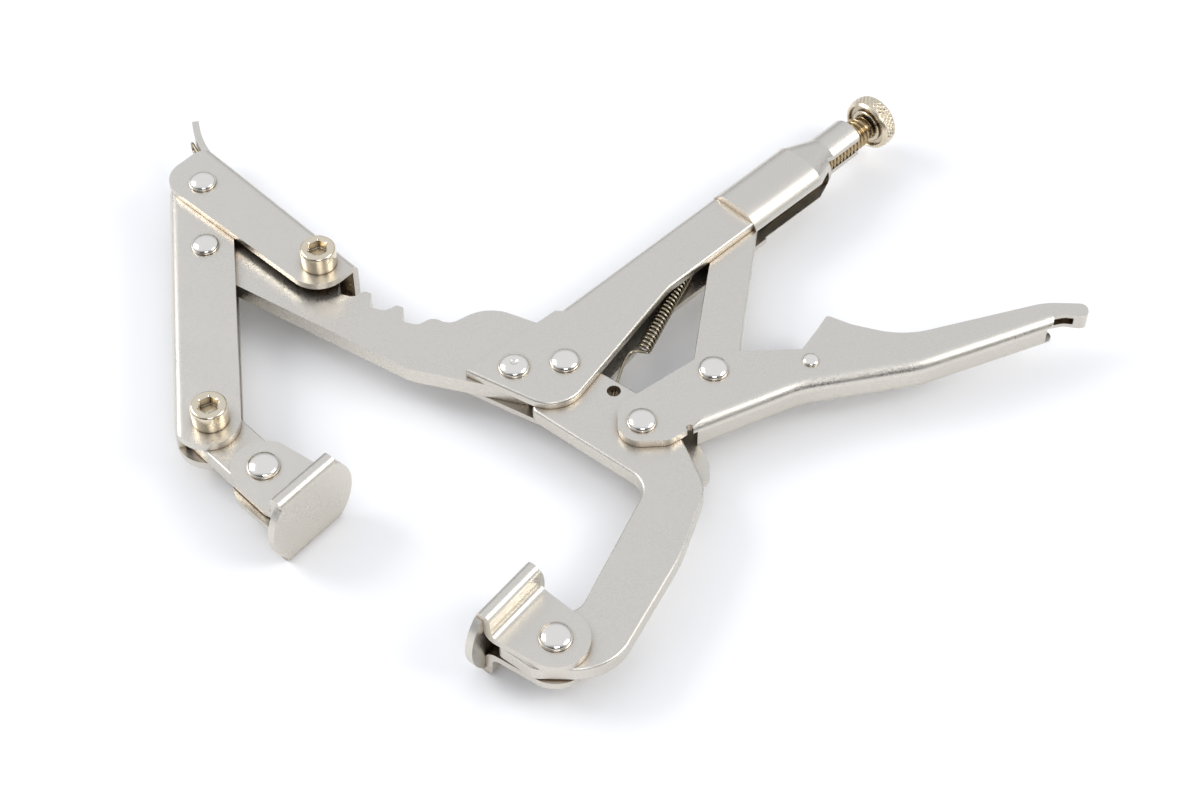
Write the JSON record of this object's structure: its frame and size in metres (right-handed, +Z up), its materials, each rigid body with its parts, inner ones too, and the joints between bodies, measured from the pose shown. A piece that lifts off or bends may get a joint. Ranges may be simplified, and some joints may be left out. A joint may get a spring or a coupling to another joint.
{
  "type": "locking pliers",
  "caption": "Locking C-clamp pliers with a notched adjustable arm, a moving jaw on a toggle and two swivel pads.",
  "frame": {"origin": "centre of the bounding box in plan, on the surface that the open tool lies on", "axes": "+X to the handles' side, along the longest extent; +Y towards the knob; +Z up, across the tool's thickness, along every pivot"},
  "size_m": [0.2572, 0.2036, 0.0254],
  "materials": {
    "plated_steel": "satin",
    "plated_plate": "satin",
    "polished_nickel": "gloss",
    "screw_nickel": "gloss",
    "thread_nickel": "gloss",
    "knurled_nickel": "satin",
    "spring_wire": "gloss"
  },
  "bodies": {
    "frame": {"fixed_handle": "plated_steel", "notched_bar": "plated_plate", "bar_rivet": "polished_nickel", "jaw_pivot_rivet": "polished_nickel", "tension_spring": "spring_wire"},
    "jaw": {"lower_jaw": "plated_plate", "lower_pad_rivet": "polished_nickel"},
    "handle": {"movable_handle": "plated_steel", "handle_rivet": "polished_nickel", "link_rivet": "polished_nickel", "lever_rivet": "polished_nickel"},
    "toggle": {"toggle_link": "plated_plate"},
    "lever": {"release_lever": "plated_steel"},
    "screw": {"adjusting_screw": "thread_nickel"},
    "knob": {"knurled_knob": "knurled_nickel"},
    "arm": {"upper_arm": "plated_steel", "arm_pivot_rivet": "polished_nickel", "arm_screw": "screw_nickel", "arm_nut": "screw_nickel"},
    "brace": {"brace_link": "plated_steel", "brace_rivet": "polished_nickel", "brace_screw": "screw_nickel", "brace_nut": "screw_nickel", "brace_spring": "spring_wire"},
    "pad_link": {"pad_link": "plated_plate", "upper_pad_rivet": "polished_nickel"},
    "upper_pad": {"upper_pad": "plated_steel"},
    "lower_pad": {"lower_pad": "plated_steel"}
  },
  "joints": [
    {"name": "jaw_pivot", "type": "hinge", "parent": "frame", "child": "jaw", "pos_m": [-0.01496, -0.00391, 0.0123], "axis": [0, 0, 1], "range_deg": [-9.1, 0.1], "deforming": ["tension_spring"]},
    {"name": "handle_pivot", "type": "hinge", "parent": "jaw", "child": "handle", "pos_m": [0.00544, -0.02476, 0.0123], "axis": [0, 0, 1], "range_deg": [0, 30]},
    {"name": "toggle_pivot", "type": "hinge", "parent": "handle", "child": "toggle", "pos_m": [0.02489, -0.00676, 0.0123], "axis": [0, 0, 1], "range_deg": [-32.2, 0.1]},
    {"name": "lever_pivot", "type": "hinge", "parent": "handle", "child": "lever", "pos_m": [0.05104, -0.00356, 0.0123], "axis": [0, 0, 1], "range_deg": [-1.5, 0]},
    {"name": "screw_feed", "type": "slide", "parent": "frame", "child": "screw", "axis": [0.7071, 0.7071, 0], "range_m": [0, 0.009]},
    {"name": "knob_turn", "type": "hinge", "parent": "screw", "child": "knob", "pos_m": [0.07272, 0.09226, 0.0123], "axis": [0.7071, 0.7071, 0], "range_deg": [-5, 2165]},
    {"name": "arm_pivot", "type": "hinge", "parent": "frame", "child": "arm", "pos_m": [-0.11596, 0.03899, 0.0123], "axis": [0, 0, 1], "range_deg": [-80, 0]},
    {"name": "brace_pivot", "type": "hinge", "parent": "arm", "child": "brace", "pos_m": [-0.11889, 0.06181, 0.0123], "axis": [0, 0, 1], "range_deg": [-0.1, 89.7]},
    {"name": "pad_link_pivot", "type": "hinge", "parent": "arm", "child": "pad_link", "pos_m": [-0.10791, -0.02389, 0.0123], "axis": [0, 0, 1], "range_deg": [-30, 15]},
    {"name": "upper_pad_pivot", "type": "hinge", "parent": "pad_link", "child": "upper_pad", "pos_m": [-0.09258, -0.03982, 0.0123], "axis": [0, 0, 1], "range_deg": [-20, 20]},
    {"name": "lower_pad_pivot", "type": "hinge", "parent": "jaw", "child": "lower_pad", "pos_m": [-0.01636, -0.09311, 0.0123], "axis": [0, 0, 1], "range_deg": [-20, 20]}
  ],
  "couplings": [
    {"joint": "jaw_pivot", "follows": "handle_pivot", "ratio": -0.3},
    {"joint": "toggle_pivot", "follows": "handle_pivot", "ratio": -1.07},
    {"joint": "brace_pivot", "follows": "arm_pivot", "ratio": -1.12},
    {"joint": "knob_turn", "follows": "screw_feed", "rad_per_m": 4188.8}
  ]
}
